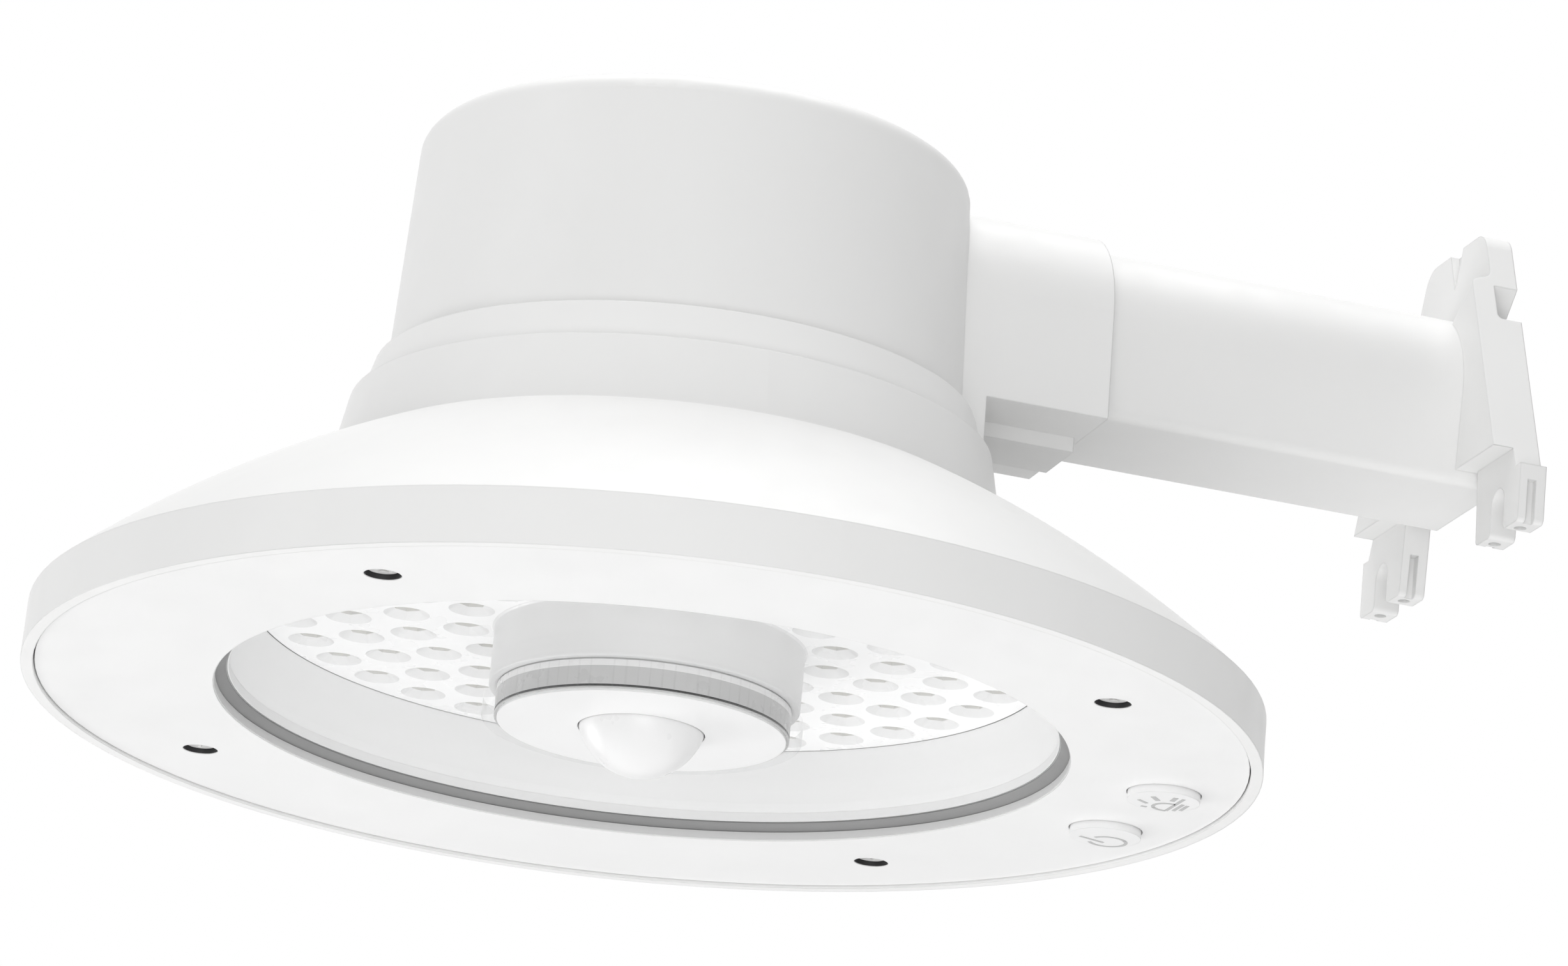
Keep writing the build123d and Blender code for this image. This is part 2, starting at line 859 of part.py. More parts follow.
def make_switch_screws():
    """Two screws down into the cover's posts."""
    return group(
        screw(
            0,
            y,
            switch_board_top,
            switch_screw_length,
            switch_shank_radius,
            switch_head_radius,
            switch_head_height,
            up=False,
        )
        for y in switch_post_places()
    )


def flange_side_at(height):
    """Half-width of the flange, whose sides lean in upwards."""
    return flange_side_x - (height - flange_side_height) * flange_side_slope


def plate_outline():
    """Outline of the flange's back plate: two pairs of legs below, leaning sides and two ears above."""
    ear_x = flange_side_at(ear_top_height)
    points = [
        (ear_x, ear_top_height),
        (flange_side_x, flange_side_height),
        (leg_outer_x, flange_side_height),
        (leg_outer_x, leg_bottom_height),
        (leg_inner_x, leg_bottom_height),
        (leg_root_x, flange_bottom_height),
    ]
    mirrored = [(-x, z) for x, z in reversed(points)]
    face = make_face(Polyline(*points, *mirrored, close=True))
    for side in (-1, 1):
        slot_x = side * leg_slot_x
        middle = leg_slot_top_height - leg_slot_radius
        face -= Pos(slot_x, middle) * Circle(leg_slot_radius)
        height = middle - leg_bottom_height
        face -= Pos(slot_x, leg_bottom_height + height / 2) * Rectangle(2 * leg_slot_radius, height)
    ears = face.vertices().group_by(Axis.Y)[-1]
    face = fillet(ears, ear_corner_radius)
    feet = face.vertices().group_by(Axis.Y)[0]
    return fillet(feet, leg_corner_radius)


def block_outline():
    """Front outline of the thick part of the flange."""
    low_x, high_x = flange_side_at(flange_bottom_height), flange_side_at(ear_top_height)
    return make_face(
        Polyline(
            (low_x, flange_bottom_height),
            (high_x, ear_top_height),
            (-high_x, ear_top_height),
            (-low_x, flange_bottom_height),
            close=True,
        )
    )


def block_half(side):
    """One half of the thick part, whose top falls towards the arm and sweeps back into the plate."""
    reach = leg_outer_x
    corner = ledge_outer_height + (reach - flange_side_at(ledge_outer_height)) * ledge_slope
    rise = plate_thickness * math.tan(math.radians(ledge_rise_angle))
    inner_corner = corner + (plate_front_y - flange_front_y) * math.tan(math.radians(ledge_rise_angle))
    back_y = plate_front_y + plate_thickness / 2
    top = inner_corner + rise
    outline = Polyline(
        (back_y, leg_bottom_height),
        (flange_front_y, leg_bottom_height),
        (flange_front_y, corner),
        (plate_front_y, inner_corner),
        (plate_front_y, top),
        (back_y, top),
        close=True,
    )
    face = make_face(outline)
    bends = [
        vertex
        for vertex in face.vertices()
        if min(abs(vertex.Y - corner), abs(vertex.Y - inner_corner)) < slip_gap
    ]
    face = fillet(bends, ledge_radius)
    plane = Plane((side * reach, 0, 0), x_dir=(0, 1, 0), z_dir=(1, 0, 0))
    length = reach * math.hypot(1, ledge_slope)
    return extrude(plane * face, amount=length, dir=(-side, 0, -ledge_slope))


def make_arm():
    """Arched hollow arm with its wall flange, closed where it is screwed to the hub."""
    body = arm_form(arm_inner_y, wall_y, 0)
    body += extrude_back(plate_outline(), plate_front_y, wall_y)
    outline = extrude_back(block_outline(), flange_front_y, wall_y - plate_thickness / 4)
    for side in (-1, 1):
        body += block_half(side) & outline
    hollow = arm_form(arm_inner_y + arm_wall, wall_y + arm_wall, -arm_wall)
    hollow -= [
        rod_along_y(arm_boss_radius, x, z, arm_inner_y, arm_inner_y + arm_boss_length)
        for x, z in arm_screw_places
    ]
    body -= hollow
    body -= [
        rod_along_y(arm_shank_radius + screw_gap, x, z, arm_inner_y, arm_inner_y + arm_boss_length)
        for x, z in arm_screw_places
    ]
    for side in (-1, 1):
        body -= notch(side)
        for spacing in leg_hole_spacings:
            body -= rod(
                leg_hole_radius,
                side * spacing / 2,
                leg_middle_y,
                leg_bottom_height,
                leg_bottom_height + leg_hole_depth,
            )
        body -= leg_groove(side * leg_outer_x, -side)
        body -= leg_groove(side * leg_inner_x, side)
    valley = make_face(
        Polyline(
            (-valley_half_width, ear_top_height),
            (valley_half_width, ear_top_height),
            (0, valley_bottom_height),
            close=True,
        )
    )
    return body - extrude_back(valley, plate_front_y, plate_front_y + valley_depth)


def notch(side):
    """Three-cornered pocket, open at the back and the side, that a hook of the bracket fills."""
    ceiling_x = flange_side_at(notch_ceiling_height)
    rise = notch_ceiling_height - notch_floor_height
    outer_x = flange_side_at(notch_floor_height) + rise
    points = [
        (side * (ceiling_x - rise), notch_floor_height),
        (side * outer_x, notch_floor_height),
        (side * outer_x, notch_ceiling_height),
        (side * ceiling_x, notch_ceiling_height),
    ]
    pocket = extrude_back(make_face(Polyline(*points, close=True)), wall_y - notch_depth, wall_y)
    front_edges = pocket.edges().filter_by(Axis.X).group_by(Axis.Y)[0]
    return fillet(front_edges.sort_by(Axis.Z)[0], notch_corner_radius)


def leg_groove(x, inward):
    """Upright groove in the side face of a leg, which guides the bracket."""
    far = x + inward * leg_groove_depth
    near = x - inward * leg_groove_depth
    half = leg_groove_width / 2
    return block(
        (min(near, far), max(near, far)),
        (leg_middle_y - half, leg_middle_y + half),
        (leg_bottom_height - leg_groove_depth, leg_bottom_height + leg_groove_height),
    )


def make_arm_screws():
    """Screws from inside the hub into the end of the arm."""
    screws = []
    for x, z in arm_screw_places:
        shank_end = arm_inner_y + arm_boss_length - slip_gap
        shank = rod_along_y(arm_shank_radius, x, z, arm_seat_y, shank_end)
        hexagon = Pos(x, z) * RegularPolygon(arm_head_radius, 6)
        screws.append(shank + extrude_back(hexagon, arm_seat_y - arm_head_height, arm_seat_y))
    return group(screws)


def cell_places():
    """X of the battery cells' axes."""
    first = -(cell_count - 1) / 2
    return [(first + index) * cell_spacing for index in range(cell_count)]


def make_battery_cells():
    """Round cells side by side."""
    half = cell_length / 2
    return group(rod_along_y(cell_radius, x, cell_axis_height, -half, half) for x in cell_places())


def cradle_half_width():
    """Half-width of the cradle, which wraps the outer cells."""
    return cell_places()[-1] + cell_radius + slip_gap + cradle_end / 2


def make_battery_cradle():
    """Cradle under the roof with half-round beds for the cells and two screw ears."""
    half_x = cradle_half_width()
    half_y = cell_length / 2 + cradle_end
    body = block((-half_x, half_x), (-half_y, half_y), (cell_axis_height, roof_bottom))
    ear_x = cradle_screw_x + cradle_boss_radius
    ear_half = cradle_ear_width / 2
    body += block((-ear_x, ear_x), (-ear_half, ear_half), (cell_axis_height, cradle_ear_top))
    half = cell_length / 2
    body -= [
        rod_along_y(cell_radius + screw_gap, x, cell_axis_height, -half, half) for x in cell_places()
    ]
    body -= [
        rod(cradle_shank_radius + screw_gap, side * cradle_screw_x, 0, cell_axis_height, cradle_ear_top)
        for side in (-1, 1)
    ]
    clear = cradle_boss_radius + slip_gap
    return body - [
        rod(clear, side * cradle_screw_x, 0, cradle_ear_top, roof_bottom) for side in (-1, 1)
    ]


def make_battery_strap():
    """Strap under the cells, screwed to the cradle's ears."""
    half_x = cradle_half_width()
    half_y = strap_width / 2
    low = cell_axis_height - cell_radius - screw_gap
    strap = block((-half_x, half_x), (-half_y, half_y), (low - strap_thickness, low))
    ear_x = cradle_screw_x + cradle_boss_radius
    for side in (-1, 1):
        near, far = side * half_x, side * (half_x - strap_thickness)
        strap += block(
            (min(near, far), max(near, far)), (-half_y, half_y), (low - strap_thickness, cell_axis_height)
        )
        inner, outer = side * (half_x - strap_thickness), side * ear_x
        strap += block(
            (min(inner, outer), max(inner, outer)), (-half_y, half_y), (cradle_seat, cell_axis_height)
        )
        strap -= rod(cradle_shank_radius + screw_gap, side * cradle_screw_x, 0, cradle_seat, cell_axis_height)
    return strap


def make_cradle_screws():
    """Two screws up through strap and cradle into the roof's bosses."""
    return group(
        screw(
            side * cradle_screw_x,
            0,
            cradle_seat,
            cradle_screw_length,
            cradle_shank_radius,
            cradle_head_radius,
            cradle_head_height,
        )
        for side in (-1, 1)
    )


def make_main_board():
    """Square board with its corners cut to the round hub."""
    half = main_board_half
    board = block((-half, half), (-half, half), (main_board_bottom, main_board_top))
    board &= rod(main_board_radius, 0, 0, main_board_bottom, main_board_top)
    return board - [
        rod(board_shank_radius + screw_gap, x, y, main_board_bottom, main_board_top)
        for x, y in board_posts()
    ]


def make_board_screws():
    """Four screws up into the hub's posts."""
    return group(
        screw(
            x,
            y,
            main_board_bottom,
            board_screw_length,
            board_shank_radius,
            board_head_radius,
            board_head_height,
        )
        for x, y in board_posts()
    )


def make_control_chips():
    """Charge and lamp controllers under the main board."""
    length, width, height = chip_size
    z = main_board_bottom - height / 2
    return group(Pos(x, y, z) * Box(length, width, height) for x, y in chip_places)


def make_capacitors():
    """Upright capacitors under the main board."""
    low = main_board_bottom - capacitor_height
    return group(rod(capacitor_radius, x, y, low, main_board_bottom) for x, y in capacitor_places)


def make_charge_coil():
    """Round coil of the charging circuit."""
    x, y = coil_place
    return rod(coil_radius, x, y, main_board_bottom - coil_height, main_board_bottom)


def make_lead_sockets():
    """Sockets for the leads from panel, lamp board and sensor."""
    length, width, height = plug_size
    y = plug_edge_distance - main_board_half
    z = main_board_bottom - height / 2
    return group(Pos(x, y, z) * Box(length, width, height) for x in plug_places)


mode_x, power_x = button_places()
nodes = {
    "head_shell": make_housing(),
    "solar_cover": make_solar_cover(),
    "solar_cells": make_solar_cells(),
    "solar_board": make_solar_board(),
    "panel_seal": make_panel_seal(),
    "front_cover": make_front_cover(),
    "front_screws": make_front_screws(),
    "lens": make_lens(),
    "lens_seal": make_lens_seal(),
    "optics_ring": make_optics_ring(),
    "reflector": make_reflector(),
    "leds": make_leds(),
    "led_board": make_led_board(),
    "optics_screws": make_optics_screws(),
    "sensor_housing": make_sensor_housing(),
    "sensor_seal": make_sensor_seal(),
    "sensor_screws": make_sensor_screws(),
    "sensor_eye": make_sensor_eye(),
    "sensor_board": make_sensor_board(),
    "pyro_sensor": make_pyro_sensor(),
    "mode_button": make_button(mode_x),
    "power_button": make_button(power_x),
    "mode_plunger": make_plunger(mode_x),
    "power_plunger": make_plunger(power_x),
    "mode_switch": make_switch(mode_x),
    "power_switch": make_switch(power_x),
    "button_seals": make_button_seals(),
    "switch_board": make_switch_board(),
    "switch_screws": make_switch_screws(),
    "wall_arm": make_arm(),
    "arm_screws": make_arm_screws(),
    "battery_cells": make_battery_cells(),
    "battery_cradle": make_battery_cradle(),
    "battery_strap": make_battery_strap(),
    "cradle_screws": make_cradle_screws(),
    "main_board": make_main_board(),
    "board_screws": make_board_screws(),
    "control_chips": make_control_chips(),
    "capacitors": make_capacitors(),
    "charge_coil": make_charge_coil(),
    "lead_sockets": make_lead_sockets(),
}

origin_shift = Pos(0, -leg_middle_y, -leg_bottom_height)
os.makedirs("parts", exist_ok=True)
for name, shape in nodes.items():
    export_step(origin_shift * shape, f"parts/{name}.step")
    print(name, len(shape.solids()), round(sum(solid.volume for solid in shape.solids())))
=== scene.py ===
import math
import bmesh
import bpy
from mathutils import Matrix, Vector


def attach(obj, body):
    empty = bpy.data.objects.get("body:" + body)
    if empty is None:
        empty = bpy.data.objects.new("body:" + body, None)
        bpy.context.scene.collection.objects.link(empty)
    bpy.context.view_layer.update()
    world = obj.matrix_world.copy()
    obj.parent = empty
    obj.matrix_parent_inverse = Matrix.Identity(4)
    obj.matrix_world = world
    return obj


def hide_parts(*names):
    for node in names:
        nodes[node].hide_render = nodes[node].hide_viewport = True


# The looks of a round solar security light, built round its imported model. Metres, +Z up, wall on +Y.
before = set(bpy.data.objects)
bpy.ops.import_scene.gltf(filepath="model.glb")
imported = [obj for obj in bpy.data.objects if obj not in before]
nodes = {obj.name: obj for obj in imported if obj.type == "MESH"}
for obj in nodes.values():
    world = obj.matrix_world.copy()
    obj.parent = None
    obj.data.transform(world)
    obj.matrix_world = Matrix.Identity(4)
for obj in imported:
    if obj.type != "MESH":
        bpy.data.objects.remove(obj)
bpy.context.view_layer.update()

# Shapes below are in the lamp's own millimetres, about its axis, with the rim's lower edge at height 0
MM = 0.001
ROW_Y = 178.35
ROW_Z = 66.15
TURN_STEPS = 160
BODY = "lamp"

# Finish of moulded surfaces: noise in waves per metre, bump height in metres
CLOUD_WAVES = 16.0
GLOSS_WAVES = 110.0
GLOSS_SPREAD = 0.05
GRAIN_WAVES = 2400.0
FINE_GRAIN_WAVES = 3000.0
WIRE_GRAIN_WAVES = 1800.0
GRAIN_HEIGHT = 0.0001
BEVEL_SAMPLES = 6


def place(x, y, z):
    """Point in the lamp's millimetres as metres in the row frame."""
    return Vector((x * MM, (y - ROW_Y) * MM, (z - ROW_Z) * MM))


# Materials
def set_input(node, name, value):
    node.inputs[name].default_value = value


def new_material(name):
    material = bpy.data.materials.new(name)
    material.use_nodes = True
    tree = material.node_tree
    return material, tree, tree.nodes["Principled BSDF"]


def noise(tree, scale, detail=3.0):
    """Noise fixed to the object, with its size set in waves per metre."""
    coordinates = tree.nodes.new("ShaderNodeTexCoord")
    texture = tree.nodes.new("ShaderNodeTexNoise")
    set_input(texture, "Scale", scale)
    set_input(texture, "Detail", detail)
    tree.links.new(coordinates.outputs["Object"], texture.inputs["Vector"])
    return texture.outputs["Fac"]


def ranged(tree, source, low, high, start=0.35, end=0.65):
    """Value between start and end spread over low to high."""
    spread = tree.nodes.new("ShaderNodeMapRange")
    set_input(spread, "From Min", start)
    set_input(spread, "From Max", end)
    set_input(spread, "To Min", low)
    set_input(spread, "To Max", high)
    tree.links.new(source, spread.inputs["Value"])
    return spread.outputs["Result"]


def mixed(tree, factor, first, second):
    mix = tree.nodes.new("ShaderNodeMix")
    mix.data_type = "RGBA"
    mix.inputs["A"].default_value = (*first, 1)
    mix.inputs["B"].default_value = (*second, 1)
    tree.links.new(factor, mix.inputs["Factor"])
    return mix.outputs["Result"]


def moulded(name, colour, rough=0.45, drift=0.02, grain=0.1, grain_scale=GRAIN_WAVES, edge=0.0, **extra):
    """Moulded surface: drifting colour, uneven gloss, fine grain and softened edges."""
    material, tree, shader = new_material(name)
    low = tuple(max(part - drift, 0.0) for part in colour)
    cloud = ranged(tree, noise(tree, CLOUD_WAVES), 0.0, 1.0)
    tree.links.new(mixed(tree, cloud, low, colour), shader.inputs["Base Color"])
    gloss = ranged(tree, noise(tree, GLOSS_WAVES), rough - GLOSS_SPREAD, rough + GLOSS_SPREAD)
    tree.links.new(gloss, shader.inputs["Roughness"])
    bump = tree.nodes.new("ShaderNodeBump")
    set_input(bump, "Strength", grain)
    set_input(bump, "Distance", GRAIN_HEIGHT)
    tree.links.new(noise(tree, grain_scale, 2.0), bump.inputs["Height"])
    if edge:
        bevel = tree.nodes.new("ShaderNodeBevel")
        bevel.samples = BEVEL_SAMPLES
        set_input(bevel, "Radius", edge * MM)
        tree.links.new(bevel.outputs["Normal"], bump.inputs["Normal"])
    tree.links.new(bump.outputs["Normal"], shader.inputs["Normal"])
    for key, value in extra.items():
        set_input(shader, key.replace("_", " "), value)
    return material


def height_of(tree):
    """Height in metres over the row's origin, as a value."""
    coordinates = tree.nodes.new("ShaderNodeTexCoord")
    parts = tree.nodes.new("ShaderNodeSeparateXYZ")
    tree.links.new(coordinates.outputs["Object"], parts.inputs["Vector"])
    return parts.outputs["Z"]


CLEAR_GREY = (0.75, 0.76, 0.76, 1)
TURN_START = 0.45
TURN_END = 0.95
RIM_ALPHA = 0.95
RIM_FADE = 0.3
CLEAR_WAVES = 60.0


def clear_plastic(name, facing, glancing, blend, rim=None):
    """Clear moulding that shows more where it turns away, and is cloudy beyond a rim radius."""
    material, tree, shader = new_material(name)
    set_input(shader, "Base Color", CLEAR_GREY)
    edge = tree.nodes.new("ShaderNodeLayerWeight")
    set_input(edge, "Blend", blend)
    alpha = ranged(tree, edge.outputs["Facing"], facing, glancing, TURN_START, TURN_END)
    if rim:
        coordinates = tree.nodes.new("ShaderNodeTexCoord")
        centred = tree.nodes.new("ShaderNodeVectorMath")
        centred.operation = "ADD"
        centred.inputs[1].default_value = (0, ROW_Y * MM, 0)
        flat = tree.nodes.new("ShaderNodeVectorMath")
        flat.operation = "MULTIPLY"
        flat.inputs[1].default_value = (1, 1, 0)
        length = tree.nodes.new("ShaderNodeVectorMath")
        length.operation = "LENGTH"
        tree.links.new(coordinates.outputs["Object"], centred.inputs[0])
        tree.links.new(centred.outputs[0], flat.inputs[0])
        tree.links.new(flat.outputs[0], length.inputs[0])
        cloudy = ranged(tree, length.outputs["Value"], 0.0, RIM_ALPHA, rim * MM, (rim + RIM_FADE) * MM)
        larger = tree.nodes.new("ShaderNodeMath")
        larger.operation = "MAXIMUM"
        tree.links.new(alpha, larger.inputs[0])
        tree.links.new(cloudy, larger.inputs[1])
        alpha = larger.outputs[0]
    tree.links.new(alpha, shader.inputs["Alpha"])
    tree.links.new(ranged(tree, noise(tree, CLEAR_WAVES), 0.03, 0.08), shader.inputs["Roughness"])
    return material


white = moulded("white_plastic", (0.845, 0.845, 0.84), 0.42, edge=0.5)
cover_white = moulded("cover_plastic", (0.86, 0.86, 0.858), 0.4, edge=0.3)
button_white = moulded("button_plastic", (0.86, 0.86, 0.86), 0.36, edge=0.3)
sensor_white = moulded("sensor_plastic", (0.86, 0.86, 0.86), 0.38, edge=0.35)
# Painted shade: darker copy of the reflector's white for its sleeve
painted_sleeve_shade = moulded("reflector_sleeve_painted_shade", (0.76, 0.76, 0.76), 0.35)
zinc = moulded("zinc", (0.72, 0.72, 0.71), 0.42, 0.06, 0.25, FINE_GRAIN_WAVES, 0.1, Metallic=0.2)
# Painted light: the reflector's white glows a little, though it is no lamp, to stay as bright as a lit face
painted_glow = {"Emission_Color": (1, 1, 1, 1), "Emission_Strength": 0.12}
painted_glow_white = moulded("reflector_painted_glow", (0.9, 0.9, 0.9), 0.3, 0.01, **painted_glow)
# Painted shade: darker copies of the reflector's white for its dish and well walls
painted_dish_shade = moulded("reflector_dish_painted_shade", (0.84, 0.84, 0.84), 0.3, 0.01)
painted_well_shade = moulded("reflector_well_painted_shade", (0.82, 0.82, 0.82), 0.35, 0.02)
# Black rubber of the seals, also used as painted shade in the screw wells
black_rubber = moulded("black_rubber", (0.02, 0.02, 0.021), 0.5, 0.006, 0.2)
gasket_rubber = moulded("gasket_rubber", (0.26, 0.26, 0.26), 0.5, 0.02, 0.2)
black_plastic = moulded("black_plastic", (0.03, 0.03, 0.03), 0.4, 0.008, 0.15, edge=0.2)
grey_plastic = moulded("grey_plastic", (0.3, 0.3, 0.31), 0.45, 0.03, 0.15, edge=0.3)
icon_grey = moulded("icon_grey", (0.5, 0.5, 0.5), 0.4, 0.03, 0.1)
steel = moulded("steel", (0.55, 0.55, 0.54), 0.32, 0.08, 0.25, FINE_GRAIN_WAVES, 0.15, Metallic=1.0)
lip_painted_shade = moulded("lip_painted_shade", (0.62, 0.62, 0.62), 0.5, 0.02, 0.1)
frosted = moulded("frosted_plastic", (0.85, 0.85, 0.85), 0.45, 0.02, 0.1)
phosphor = moulded("phosphor", (0.83, 0.74, 0.36), 0.35, 0.05, 0.1)
white_mask = moulded("white_board", (0.8, 0.81, 0.8), 0.35, 0.02, 0.1)
dark_mask = moulded("dark_board", (0.012, 0.014, 0.02), 0.4, 0.004, 0.1)
green_mask = moulded("green_board", (0.02, 0.14, 0.06), 0.35, 0.012, 0.1)
sleeve_blue = moulded("cell_sleeve", (0.03, 0.12, 0.33), 0.3, 0.02, 0.1, edge=0.3)
copper = moulded("copper_wire", (0.5, 0.19, 0.07), 0.35, 0.05, 0.3, WIRE_GRAIN_WAVES, Metallic=1.0)
clear_cover = clear_plastic("clear_panel", 0.03, 0.3, 0.3)
CLOUDY_RADIUS = 87.2
clear_lens = clear_plastic("clear_lens", 0.04, 0.9, 0.25, CLOUDY_RADIUS)


WALL_FOOT = 6.4
WALL_TOP = 19.5
WALL_WAVES = 700.0
WALL_BANDS = 0.2
WALL_PAINTED_LIGHT = 0.8
WALL_GLOSS_WAVES = 120.0


def grey_wall():
    """Grey cone behind the lens, with faint bands round it and painted light that makes it paler towards its
    foot.
    """
    material, tree, shader = new_material("grey_wall")
    height = height_of(tree)
    bands = tree.nodes.new("ShaderNodeTexNoise")
    bands.noise_dimensions = "1D"
    set_input(bands, "Scale", WALL_WAVES)
    tree.links.new(height, bands.inputs["W"])
    foot = (WALL_FOOT - ROW_Z) * MM
    top = (WALL_TOP - ROW_Z) * MM
    paler = tree.nodes.new("ShaderNodeMath")
    paler.operation = "MULTIPLY_ADD"
    set_input(paler, 1, WALL_BANDS)
    tree.links.new(bands.outputs["Fac"], paler.inputs[0])
    tree.links.new(ranged(tree, height, WALL_PAINTED_LIGHT, 0.0, foot, top), paler.inputs[2])
    colour = mixed(tree, paler.outputs[0], (0.84, 0.84, 0.84), (0.92, 0.92, 0.92))
    tree.links.new(colour, shader.inputs["Base Color"])
    tree.links.new(ranged(tree, noise(tree, WALL_GLOSS_WAVES), 0.35, 0.5), shader.inputs["Roughness"])
    return material


# Bands of the sensor's sleeve, a painted highlight and a painted gap shadow among them: each starts at a
# height and has one grey
BAND_TOP = 6.4
BAND_FOOT_GREY = 0.5
BAND_GLOSS_WAVES = 300.0
BAND_ZONES = ((0.55, 0.02), (1.05, 0.54), (5.0, 0.82))


def painted_band_seal():
    """Grey sleeve round the sensor, with a painted highlight as its pale upper band and a painted gap shadow
    as the black line near its lower end.
    """
    material, tree, shader = new_material("sensor_band_painted_light_and_shade")
    zones = tree.nodes.new("ShaderNodeValToRGB")
    zones.color_ramp.interpolation = "CONSTANT"
    stops = zones.color_ramp.elements
    stops.remove(stops[1])
    stops[0].color = (BAND_FOOT_GREY, BAND_FOOT_GREY, BAND_FOOT_GREY, 1)
    for height, grey in BAND_ZONES:
        stops.new(height / BAND_TOP).color = (grey, grey, grey, 1)
    part_way = ranged(tree, height_of(tree), 0.0, 1.0, -ROW_Z * MM, (BAND_TOP - ROW_Z) * MM)
    tree.links.new(part_way, zones.inputs["Fac"])
    tree.links.new(zones.outputs["Color"], shader.inputs["Base Color"])
    tree.links.new(ranged(tree, noise(tree, BAND_GLOSS_WAVES), 0.25, 0.4), shader.inputs["Roughness"])
    return material


def milky():
    """Cloudy white cap of the sensor."""
    material = moulded("milky_cap", (0.84, 0.84, 0.84), 0.32, 0.004, 0.02)
    shader = material.node_tree.nodes["Principled BSDF"]
    set_input(shader, "Subsurface Weight", 0.1)
    set_input(shader, "Subsurface Radius", (1.0, 1.0, 1.0))
    set_input(shader, "Subsurface Scale", 0.004)
    return material


FINGER_SCALE = 90.0
FINGER_START = 0.94
CELL_BLUE = (0.005, 0.009, 0.03)
FINGER_GREY = (0.16, 0.17, 0.19)
CELL_GLOSS_WAVES = 220.0


def solar_cell():
    """Dark blue silicon with fine silver lines across it."""
    material, tree, shader = new_material("solar_cell")
    coordinates = tree.nodes.new("ShaderNodeTexCoord")
    lines = tree.nodes.new("ShaderNodeTexWave")
    set_input(lines, "Scale", FINGER_SCALE)
    tree.links.new(coordinates.outputs["Object"], lines.inputs["Vector"])
    factor = ranged(tree, lines.outputs["Fac"], 0.0, 1.0, FINGER_START, 1.0)
    tree.links.new(mixed(tree, factor, CELL_BLUE, FINGER_GREY), shader.inputs["Base Color"])
    tree.links.new(ranged(tree, noise(tree, CELL_GLOSS_WAVES), 0.2, 0.34), shader.inputs["Roughness"])
    return material


node_materials = {
    white: ("head_shell", "wall_arm"),
    cover_white: ("front_cover",),
    button_white: ("mode_button", "power_button"),
    sensor_white: ("sensor_housing",),
    milky(): ("sensor_eye",),
    grey_wall(): ("optics_ring",),
    painted_glow_white: ("reflector",),
    clear_lens: ("lens",),
    clear_cover: ("solar_cover",),
    solar_cell(): ("solar_cells",),
    black_rubber: ("lens_seal", "panel_seal", "button_seals"),
    painted_band_seal(): ("sensor_seal",),
    steel: (
        "front_screws", "optics_screws", "sensor_screws", "switch_screws", "arm_screws", "cradle_screws",
        "board_screws", "pyro_sensor",
    ),
    phosphor: ("leds",),
    white_mask: ("led_board", "lead_sockets"),
    dark_mask: ("solar_board",),
    green_mask: ("sensor_board", "switch_board", "main_board"),
    black_plastic: (
        "mode_plunger", "power_plunger", "mode_switch", "power_switch", "control_chips", "capacitors",
        "battery_strap",
    ),
    grey_plastic: ("battery_cradle",),
    sleeve_blue: ("battery_cells",),
    copper: ("charge_coil",),
}
for material, names in node_materials.items():
    for name in names:
        nodes[name].data.materials.clear()
        nodes[name].data.materials.append(material)


# Mesh helpers
def finish_mesh(name, shape, material, body, sharp_angle=35):
    """Object from a bmesh, smooth but for its sharp edges, riding on a body."""
    bmesh.ops.remove_doubles(shape, verts=shape.verts, dist=1e-7)
    bmesh.ops.recalc_face_normals(shape, faces=shape.faces)
    mesh = bpy.data.meshes.new(name)
    shape.to_mesh(mesh)
    shape.free()
    for face in mesh.polygons:
        face.use_smooth = True
    mesh.set_sharp_from_angle(angle=math.radians(sharp_angle))
    mesh.materials.append(material)
    piece = bpy.data.objects.new(name, mesh)
    bpy.context.scene.collection.objects.link(piece)
    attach(piece, body)
    return piece


def rounded(points, steps=4):
    """Closed outline with each corner (a, b, radius) rounded by an arc."""
    outline = []
    for index, (a, b, radius) in enumerate(points):
        corner = Vector((a, b))
        if not radius:
            outline.append(corner)
            continue
        before = (Vector(points[index - 1][:2]) - corner).normalized()
        after = (Vector(points[(index + 1) % len(points)][:2]) - corner).normalized()
        half = math.acos(max(-1.0, min(1.0, before.dot(after)))) / 2
        centre = corner + (before + after).normalized() * (radius / math.sin(half))
        start = corner + before * (radius / math.tan(half)) - centre
        end = corner + after * (radius / math.tan(half)) - centre
        first = math.atan2(start.y, start.x)
        sweep = (math.atan2(end.y, end.x) - first + math.pi) % (2 * math.pi) - math.pi
        for step in range(steps + 1):
            angle = first + sweep * step / steps
            outline.append(centre + Vector((math.cos(angle), math.sin(angle))) * radius)
    return outline


def turn_into(shape, outline, x=0.0, y=0.0, steps=TURN_STEPS):
    """Adds a closed outline of (radius, height) turned about a vertical axis."""
    rows = []
    for step in range(steps):
        angle = 2 * math.pi * step / steps
        row = [
            shape.verts.new(place(x + point[0] * math.cos(angle), y + point[0] * math.sin(angle), point[1]))
            for point in outline
        ]
        rows.append(row)
    for step in range(steps):
        row, after = rows[step], rows[(step + 1) % steps]
        for index in range(len(outline)):
            nearby = (index + 1) % len(outline)
            if outline[index][0] < 1e-6 and outline[nearby][0] < 1e-6:
                continue
            shape.faces.new((row[index], row[nearby], after[nearby], after[index]))


